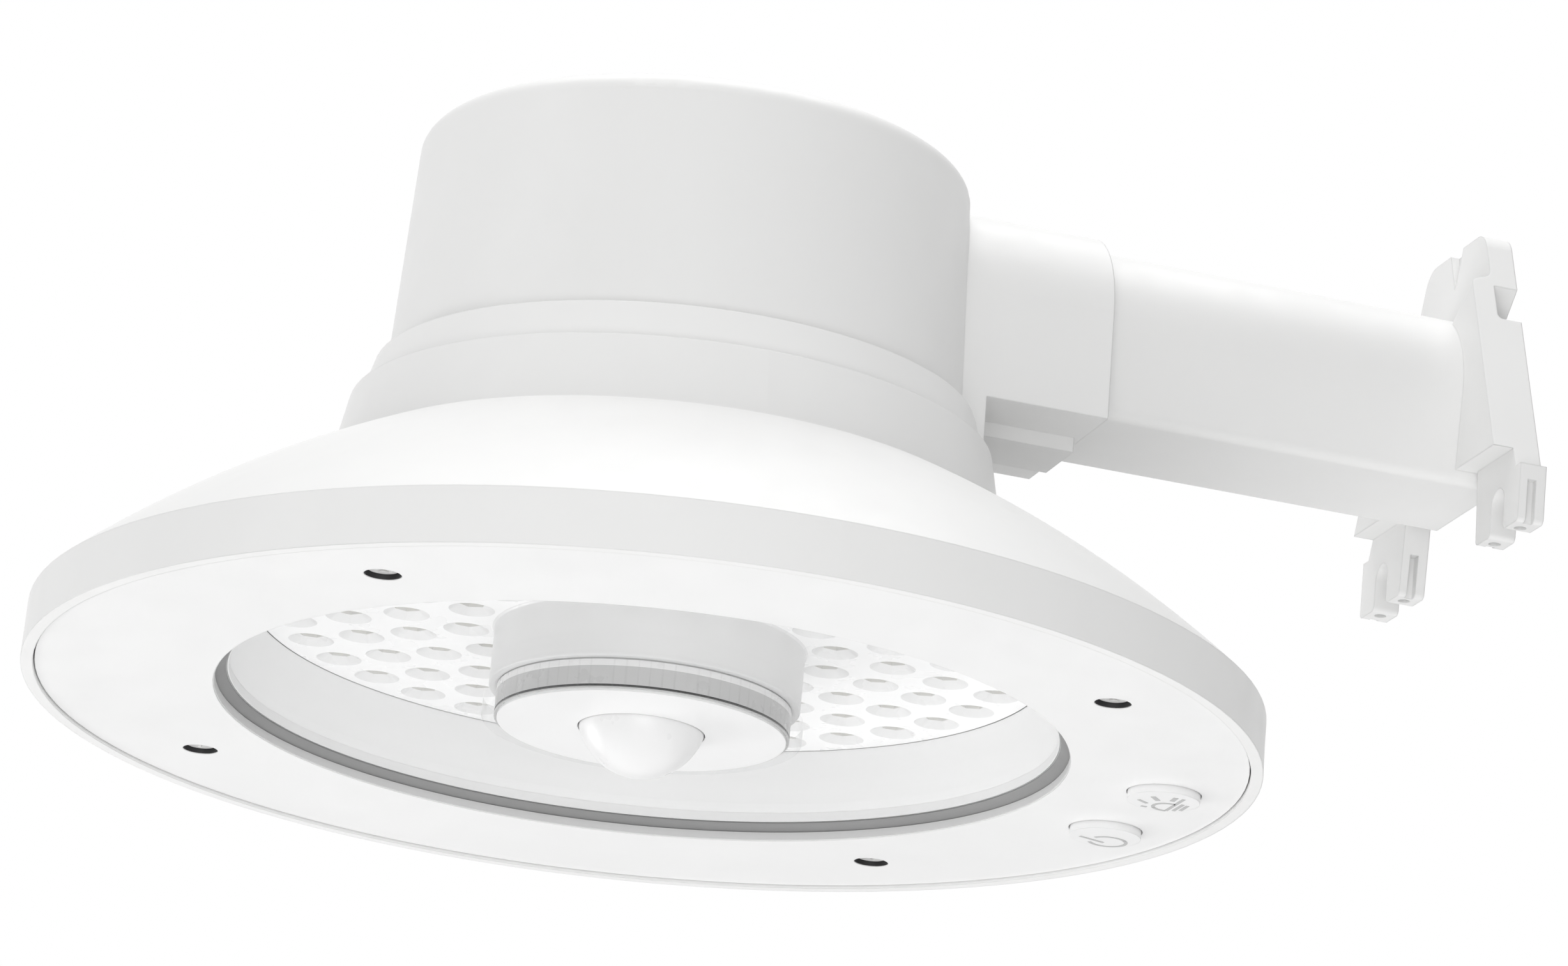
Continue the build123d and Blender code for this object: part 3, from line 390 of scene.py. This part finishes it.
def prism_into(shape, outline, bottom, top, x=0.0, y=0.0, grow=1.0):
    """Adds a prism on a flat outline of (x, y), which may taper to the top."""
    low = [shape.verts.new(place(x + a, y + b, bottom)) for a, b in outline]
    high = [shape.verts.new(place(x + a * grow, y + b * grow, top)) for a, b in outline]
    shape.faces.new(low)
    shape.faces.new(list(reversed(high)))
    for index in range(len(outline)):
        nearby = (index + 1) % len(outline)
        shape.faces.new((low[index], high[index], high[nearby], low[nearby]))


def around(radius, count, start):
    """Points and azimuths, in degrees, of a ring of pieces."""
    for index in range(count):
        azimuth = start + 360 * index / count
        turn = math.radians(azimuth)
        yield radius * math.cos(turn), radius * math.sin(turn), azimuth


# Front screws with a cross recess
SCREW_CIRCLE = 108.4
SCREW_SEAT = 4.2
HEAD_RADIUS = 3.4
HEAD_HEIGHT = 2.45
SHANK_RADIUS = 1.5
SHANK_TOP = 16.2
CROSS_REACH = 2.1
CROSS_WIDTH = 0.45
CROSS_DEPTH = 1.3
CROSS_TAPER = 0.7
CROSS_MARGIN = 0.2
CROSS_TURN = 20
CROSS_TURN_STEP = 33
HEAD_ROUND = 0.45
TIP_ROUND = 0.5
SCREW_STEPS = 40


def cross_outline(reach, width, turn):
    """Plus-shaped outline turned by an angle in degrees."""
    corners = [
        (reach, -width), (reach, width), (width, width), (width, reach),
        (-width, reach), (-width, width), (-reach, width), (-reach, -width),
        (-width, -width), (-width, -reach), (width, -reach), (width, -width),
    ]
    spin = Matrix.Rotation(math.radians(turn), 2)
    return [tuple(spin @ Vector(corner)) for corner in corners]


def cut(piece, cutter_shape):
    """Takes a closed bmesh out of a piece for good."""
    mesh = bpy.data.meshes.new("cutter")
    bmesh.ops.recalc_face_normals(cutter_shape, faces=cutter_shape.faces)
    cutter_shape.to_mesh(mesh)
    cutter_shape.free()
    cutter = bpy.data.objects.new("cutter", mesh)
    bpy.context.scene.collection.objects.link(cutter)
    change = piece.modifiers.new("cut", "BOOLEAN")
    change.operation = "DIFFERENCE"
    change.solver = "EXACT"
    change.object = cutter
    depsgraph = bpy.context.evaluated_depsgraph_get()
    result = bpy.data.meshes.new_from_object(piece.evaluated_get(depsgraph))
    piece.modifiers.clear()
    old = piece.data
    piece.data = result
    bpy.data.meshes.remove(old)
    bpy.data.objects.remove(cutter)
    bpy.data.meshes.remove(mesh)


screw_shape = bmesh.new()
cross_shape = bmesh.new()
for index, (x, y, azimuth) in enumerate(around(SCREW_CIRCLE, 4, 45)):
    bottom = SCREW_SEAT - HEAD_HEIGHT
    head = rounded([
        (0, bottom, 0), (HEAD_RADIUS, bottom, HEAD_ROUND), (HEAD_RADIUS, SCREW_SEAT, 0),
        (SHANK_RADIUS, SCREW_SEAT, 0), (SHANK_RADIUS, SHANK_TOP, TIP_ROUND), (0, SHANK_TOP, 0),
    ])
    turn_into(screw_shape, head, x, y, SCREW_STEPS)
    outline = cross_outline(CROSS_REACH, CROSS_WIDTH, CROSS_TURN + CROSS_TURN_STEP * index)
    prism_into(cross_shape, outline, bottom - CROSS_MARGIN, bottom + CROSS_DEPTH, x, y, CROSS_TAPER)
front_screws = finish_mesh("cross_head_screws", screw_shape, zinc, BODY)
cut(front_screws, cross_shape)
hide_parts("front_screws")

# Reflector: round dishes that narrow to six-sided wells over the light sources
PLATE_BOTTOM = 19.5
PLATE_TOP = 24.5
PLATE_RADIUS = 83.9
SLEEVE_RADIUS = 32.7
SLEEVE_BORE = 30.7
SLEEVE_BOTTOM = 6.7
DISH_RADIUS = 4.9
DISH_DEPTH = 1.4
WELL_RADIUS = 3.0
DISH_STEPS = 36
DISH_MARGIN = 0.3
HALF_SIDE_DEGREES = 30
EDGE_ROUND = 0.3
CORNER_ROUND = 0.8
RING_RADII = (39.0, 51.33, 63.67, 76.0)
RING_COUNTS = (16, 22, 28, 34)
RING_TURNS = (0.0, 3.7, 6.4, -2.75)
FIRST_AZIMUTH = 90.0


def dish_into(shape, x, y, azimuth):
    """Adds the hollow of one dish and its well."""
    rows = [[], [], []]
    for step in range(DISH_STEPS):
        angle = math.radians(azimuth + 360 * step / DISH_STEPS)
        side = (360 * step / DISH_STEPS + HALF_SIDE_DEGREES) % (2 * HALF_SIDE_DEGREES) - HALF_SIDE_DEGREES
        reach = WELL_RADIUS * math.cos(math.radians(HALF_SIDE_DEGREES)) / math.cos(math.radians(side))
        slope = (DISH_RADIUS - reach) / DISH_DEPTH
        mouth = DISH_RADIUS + slope * DISH_MARGIN
        for row, radius, height in (
            (rows[0], mouth, PLATE_BOTTOM - DISH_MARGIN),
            (rows[1], reach, PLATE_BOTTOM + DISH_DEPTH),
            (rows[2], reach, PLATE_TOP + DISH_MARGIN),
        ):
            point = place(x + radius * math.cos(angle), y + radius * math.sin(angle), height)
            row.append(shape.verts.new(point))
    for row, after in ((rows[0], rows[1]), (rows[1], rows[2])):
        for step in range(DISH_STEPS):
            nearby = (step + 1) % DISH_STEPS
            shape.faces.new((row[step], row[nearby], after[nearby], after[step]))
    shape.faces.new(rows[0])
    shape.faces.new(list(reversed(rows[2])))


plate_shape = bmesh.new()
plate_outline = rounded([
    (SLEEVE_BORE, SLEEVE_BOTTOM, EDGE_ROUND),
    (SLEEVE_RADIUS, SLEEVE_BOTTOM, EDGE_ROUND),
    (SLEEVE_RADIUS, PLATE_BOTTOM, CORNER_ROUND),
    (PLATE_RADIUS, PLATE_BOTTOM, EDGE_ROUND),
    (PLATE_RADIUS, PLATE_TOP, 0),
    (SLEEVE_BORE, PLATE_TOP, 0),
])
turn_into(plate_shape, plate_outline)
reflector = finish_mesh("dish_reflector", plate_shape, painted_glow_white, BODY)
dish_shape = bmesh.new()
for radius, count, turn in zip(RING_RADII, RING_COUNTS, RING_TURNS):
    for x, y, azimuth in around(radius, count, FIRST_AZIMUTH + turn):
        dish_into(dish_shape, x, y, azimuth)
cut(reflector, dish_shape)
# Painted shade on the sleeve, the dish walls and the well walls, which take darker copies of the reflector's
# white; the flat face keeps the painted glow
for material in (painted_sleeve_shade, painted_dish_shade, painted_well_shade):
    reflector.data.materials.append(material)
SLEEVE_FACE, DISH_FACE, WELL_FACE = 1, 2, 3
SLEEVE_MARGIN = 0.1
UPRIGHT = 0.1
FLAT = 0.95
SHARP_DEGREES = 30
axis = place(0, 0, 0)
for face in reflector.data.polygons:
    spoke = face.center - axis
    if math.hypot(spoke.x, spoke.y) < (SLEEVE_RADIUS + SLEEVE_MARGIN) * MM:
        face.material_index = SLEEVE_FACE
    elif UPRIGHT < abs(face.normal.z) < FLAT:
        face.material_index = DISH_FACE
    elif abs(face.normal.z) <= UPRIGHT:
        face.material_index = WELL_FACE
reflector.data.set_sharp_from_angle(angle=math.radians(SHARP_DEGREES))
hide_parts("reflector")

# Painted shade in the screw wells: dark linings on their walls
WELL_BORE = 3.78
WELL_MOUTH = 0.85
SHADE_LINING_WALL = 0.2
SHADE_LINING_ROUND = 0.08
WELL_STEPS = 48
screw_well_shade_shape = bmesh.new()
for x, y, azimuth in around(SCREW_CIRCLE, 4, 45):
    screw_well_shade_outline = rounded([
        (WELL_BORE - SHADE_LINING_WALL, WELL_MOUTH, SHADE_LINING_ROUND), (WELL_BORE, WELL_MOUTH, 0),
        (WELL_BORE, SCREW_SEAT, 0), (WELL_BORE - SHADE_LINING_WALL, SCREW_SEAT, 0),
    ])
    turn_into(screw_well_shade_shape, screw_well_shade_outline, x, y, WELL_STEPS)
finish_mesh("screw_well_painted_shade", screw_well_shade_shape, black_rubber, BODY)

# Gasket behind the edge of the cover's opening: a black ring, with a grey lip that lines the edge as painted
# shade on the opening's wall
OPENING_RADIUS = 89.9
COVER_FACE = 0.7
COVER_BACK = 2.7
GASKET_TOP = 4.4
GASKET_BORE = 87.0
GASKET_EDGE = 93.5
GASKET_ROUND = 0.2
LIP_WALL = 0.25
LIP_ROUND = 0.1
gasket_shape = bmesh.new()
turn_into(gasket_shape, rounded([
    (OPENING_RADIUS, COVER_BACK, 0), (GASKET_EDGE, COVER_BACK, 0), (GASKET_EDGE, GASKET_TOP, 0),
    (GASKET_BORE, GASKET_TOP, GASKET_ROUND),
]))
gasket = finish_mesh("dark_gasket", gasket_shape, gasket_rubber, BODY)
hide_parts("lens_seal")
# Painted shade: a grey lip over the opening's wall, where shade falls
lip_shape = bmesh.new()
turn_into(lip_shape, rounded([
    (OPENING_RADIUS - LIP_WALL, COVER_FACE + LIP_WALL, LIP_ROUND), (OPENING_RADIUS, COVER_FACE + LIP_WALL, 0),
    (OPENING_RADIUS, COVER_BACK, 0), (OPENING_RADIUS - LIP_WALL, COVER_BACK, 0),
]))
finish_mesh("painted_shade_lip", lip_shape, lip_painted_shade, BODY)

# Frosted step of the lens over the gasket, as pale as the wall that stands on it
STEP_WALL = 0.3
STEP_GAP = 0.02
LENS_TOP = 6.4
step_shape = bmesh.new()
turn_into(step_shape, rounded([
    (GASKET_BORE, GASKET_TOP + STEP_GAP, 0), (GASKET_BORE + STEP_WALL, GASKET_TOP + STEP_GAP, 0),
    (GASKET_BORE + STEP_WALL, LENS_TOP - STEP_GAP, 0), (GASKET_BORE, LENS_TOP - STEP_GAP, 0),
]))
finish_mesh("frosted_step", step_shape, frosted, BODY)

# Signs on the buttons, raised a little from their faces
BUTTON_FACE = -0.95
SIGN_RISE = 0.08
SIGN_SINK = 0.05
ROW_OF_BUTTONS = 110.2
SIGN_WIDTH = 0.78


def stroke_into(shape, points, x, y, width=SIGN_WIDTH):
    """Adds a raised line of one width along flat points, with its ends cut square."""
    left, right = [], []
    for index, point in enumerate(points):
        here = Vector(point)
        before = Vector(points[max(index - 1, 0)])
        after = Vector(points[min(index + 1, len(points) - 1)])
        along = (after - before).normalized()
        aside = Vector((-along.y, along.x)) * width / 2
        left.append(here + aside)
        right.append(here - aside)
    for index in range(len(points) - 1):
        quad = [left[index], left[index + 1], right[index + 1], right[index]]
        corners = [tuple(corner) for corner in quad]
        prism_into(shape, corners, BUTTON_FACE + SIGN_SINK, BUTTON_FACE - SIGN_RISE, x, y)


def arc_points(centre, radius, start, end, steps=24):
    for step in range(steps + 1):
        angle = math.radians(start + (end - start) * step / steps)
        yield centre[0] + radius * math.cos(angle), centre[1] + radius * math.sin(angle)


MODE_X = 17.7
SUN_CENTRE = (-3.7, 2.2)
SUN_RADIUS = 3.0
SUN_ARC = (-195, 15)
BEAMS = (
    ((-6.4, 2.98), (4.3, 2.98)),
    ((-5.6, 4.35), (0.2, 4.35)),
    ((-4.6, 5.55), (-0.2, 5.55)),
)
RAY_WIDTH = 1.1
RAYS = (
    ((4.4, 1.2), (1.4, 1.37), RAY_WIDTH),
    ((2.5, -3.3), (0.05, -1.24), RAY_WIDTH),
    ((-1.6, -5.0), (-3.3, -2.5), SIGN_WIDTH),
    ((-6.05, -2.8), (-6.1, -1.5), SIGN_WIDTH),
)
mode_sign = bmesh.new()
stroke_into(mode_sign, list(arc_points(SUN_CENTRE, SUN_RADIUS, *SUN_ARC)), MODE_X, ROW_OF_BUTTONS)
for start, end in BEAMS:
    stroke_into(mode_sign, [start, end], MODE_X, ROW_OF_BUTTONS)
for start, end, width in RAYS:
    stroke_into(mode_sign, [start, end], MODE_X, ROW_OF_BUTTONS, width)
finish_mesh("mode_sign", mode_sign, icon_grey, "mode_button_body")

POWER_X = -17.7
POWER_CENTRE = (-3.1, 1.7)
POWER_RADIUS = 4.0
POWER_ARC = (-62, 236)
POWER_ARC_STEPS = 36
POWER_LINE = ((-4.3, 1.2), (-2.3, -4.9))
power_sign = bmesh.new()
power_arc = list(arc_points(POWER_CENTRE, POWER_RADIUS, *POWER_ARC, POWER_ARC_STEPS))
stroke_into(power_sign, power_arc, POWER_X, ROW_OF_BUTTONS)
stroke_into(power_sign, POWER_LINE, POWER_X, ROW_OF_BUTTONS)
finish_mesh("power_sign", power_sign, icon_grey, "power_button_body")

# Camera at the photograph's place
SENSOR_WIDTH = 36.0
FOCAL_LENGTH = 165.8
SIGHT_END = 20.0
CAMERA_PLACE = (1.40414, -0.56569, -0.46239)
CAMERA_TURN = (107.3512, -5.1186, 72.0043)
camera_data = bpy.data.cameras.new("camera")
camera_data.sensor_width = SENSOR_WIDTH
camera_data.lens = FOCAL_LENGTH
camera_data.clip_end = SIGHT_END
camera = bpy.data.objects.new("camera", camera_data)
camera.location = CAMERA_PLACE
camera.rotation_euler = [math.radians(angle) for angle in CAMERA_TURN]
bpy.context.scene.collection.objects.link(camera)
bpy.context.scene.camera = camera


# Light, floor and background
def white_to_camera(tree, shader_output, target):
    """Shows plain white to the camera and in reflections, and the given shader to all else."""
    path = tree.nodes.new("ShaderNodeLightPath")
    seen = tree.nodes.new("ShaderNodeMath")
    seen.operation = "MAXIMUM"
    shiny = tree.nodes.new("ShaderNodeMath")
    shiny.operation = "MAXIMUM"
    tree.links.new(path.outputs["Is Camera Ray"], seen.inputs[0])
    tree.links.new(path.outputs["Is Glossy Ray"], shiny.inputs[0])
    tree.links.new(path.outputs["Is Transmission Ray"], shiny.inputs[1])
    tree.links.new(shiny.outputs[0], seen.inputs[1])
    plain = tree.nodes.new("ShaderNodeBackground")
    set_input(plain, "Color", (1, 1, 1, 1))
    mix = tree.nodes.new("ShaderNodeMixShader")
    tree.links.new(seen.outputs[0], mix.inputs[0])
    tree.links.new(shader_output, mix.inputs[1])
    tree.links.new(plain.outputs[0], mix.inputs[2])
    tree.links.new(mix.outputs[0], target)


AMBIENT = 0.43
world = bpy.data.worlds.new("world")
world.use_nodes = True
bpy.context.scene.world = world
world_tree = world.node_tree
ambient = world_tree.nodes["Background"]
set_input(ambient, "Color", (1, 1, 1, 1))
set_input(ambient, "Strength", AMBIENT)
white_to_camera(world_tree, ambient.outputs[0], world_tree.nodes["World Output"].inputs["Surface"])
bpy.context.scene.view_settings.view_transform = "Standard"

FLOOR_HEIGHT = -0.75
FLOOR_LIFT = 0.3
FLOOR_RADIUS = 4.0
FLOOR_SIDES = 64
FLOOR_GRAIN_WAVES = 300.0


def floor_material():
    """Pale matt floor that keeps shadows, and can be looked through from beneath."""
    pale = (0.82, 0.82, 0.82)
    material = moulded("floor", pale, 0.7, grain_scale=FLOOR_GRAIN_WAVES, Specular_IOR_Level=0.1)
    tree = material.node_tree
    path = tree.nodes.new("ShaderNodeLightPath")
    lift = ranged(tree, path.outputs["Is Camera Ray"], 0.0, FLOOR_LIFT, 0.0, 1.0)
    set_input(tree.nodes["Principled BSDF"], "Emission Color", (1, 1, 1, 1))
    tree.links.new(lift, tree.nodes["Principled BSDF"].inputs["Emission Strength"])
    side = tree.nodes.new("ShaderNodeNewGeometry")
    open_shader = tree.nodes.new("ShaderNodeBsdfTransparent")
    mix = tree.nodes.new("ShaderNodeMixShader")
    tree.links.new(side.outputs["Backfacing"], mix.inputs[0])
    tree.links.new(tree.nodes["Principled BSDF"].outputs[0], mix.inputs[1])
    tree.links.new(open_shader.outputs[0], mix.inputs[2])
    tree.links.new(mix.outputs[0], tree.nodes["Material Output"].inputs["Surface"])
    return material


floor_shape = bmesh.new()
bmesh.ops.create_circle(floor_shape, cap_ends=True, radius=FLOOR_RADIUS, segments=FLOOR_SIDES)
floor_mesh = bpy.data.meshes.new("floor")
floor_shape.to_mesh(floor_mesh)
floor_shape.free()
floor_mesh.materials.append(floor_material())
floor = bpy.data.objects.new("floor", floor_mesh)
floor.location = (0, 0, FLOOR_HEIGHT)
bpy.context.scene.collection.objects.link(floor)

AIM = place(0, 30, 50)


def soft_light(name, location, power, size):
    """Square lamp that looks at the object and isn't seen itself."""
    data = bpy.data.lights.new(name, "AREA")
    data.size = size
    data.energy = power
    lamp = bpy.data.objects.new(name, data)
    lamp.location = location
    lamp.rotation_euler = (AIM - Vector(location)).to_track_quat("-Z", "Y").to_euler()
    lamp.visible_camera = False
    bpy.context.scene.collection.objects.link(lamp)


# Each light: name, place in metres, watts, side in metres
LIGHTS = (
    ("top_light", (0.0, -0.2, 1.4), 15.5, 1.4),
    ("front_light", (1.6, -0.7, 0.1), 2.2, 0.8),
    ("near_light", (1.0, -0.4, -0.65), 6.0, 0.8),
    ("left_light", (0.2, -1.6, 0.7), 2.8, 1.0),
    ("low_light", (-0.05, -0.15, -0.7), 3.1, 1.4),
    ("far_light", (-0.9, -1.1, -0.6), 6.0, 0.6),
)
for name, location, power, size in LIGHTS:
    soft_light(name, location, power, size)
